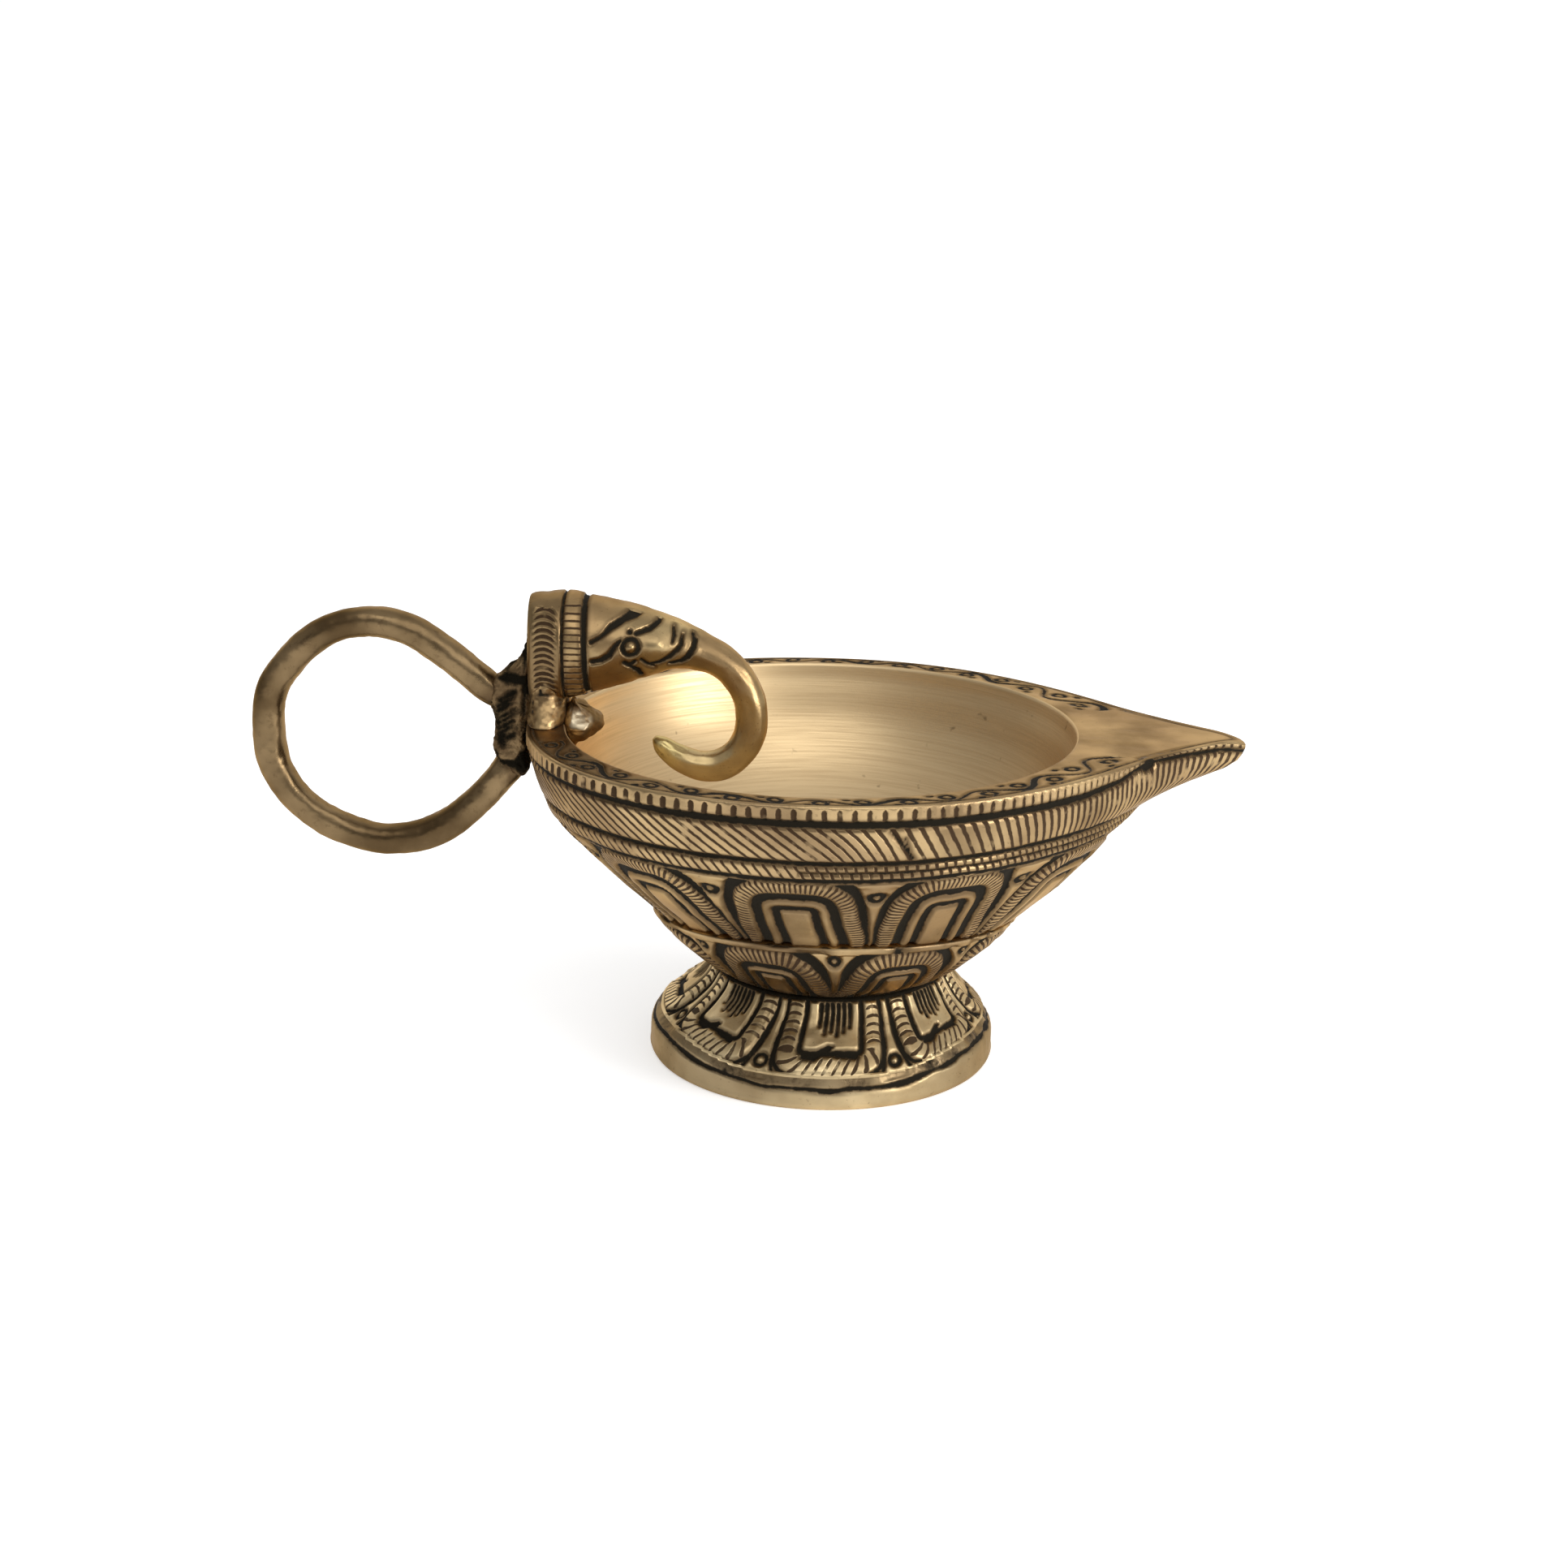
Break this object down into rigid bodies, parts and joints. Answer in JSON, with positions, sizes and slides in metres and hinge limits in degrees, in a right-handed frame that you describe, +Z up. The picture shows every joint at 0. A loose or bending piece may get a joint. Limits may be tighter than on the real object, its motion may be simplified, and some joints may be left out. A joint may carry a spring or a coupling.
{
  "type": "diya oil lamp",
  "caption": "Cast brass oil lamp: leaf-shaped bowl with a wick spout, engraved lotus cup and flared foot, finger ring and elephant-head handle.",
  "frame": {"origin": "centre of the bounding box in plan, at the level the foot stands on", "axes": "+Z up; +X from the finger ring toward the spout tip; the lamp is symmetric about the XZ plane"},
  "size_m": [0.1496, 0.0848, 0.0705],
  "materials": {
    "aged_brass": "cast brass, polished on the high spots, dark patina in the engraving",
    "dark_brass": "rough cast brass under a dark patina",
    "bright_brass": "bare brass without patina"
  },
  "bodies": {
    "root": {"bowl": "aged_brass", "lotus_collar": "aged_brass", "foot": "aged_brass", "foot_stud": "bright_brass", "foot_washer": "bright_brass", "foot_nut": "bright_brass", "finger_ring": "aged_brass", "handle_stem": "dark_brass", "elephant_head": "aged_brass", "neck_braze": "bright_brass"}
  },
  "joints": []
}
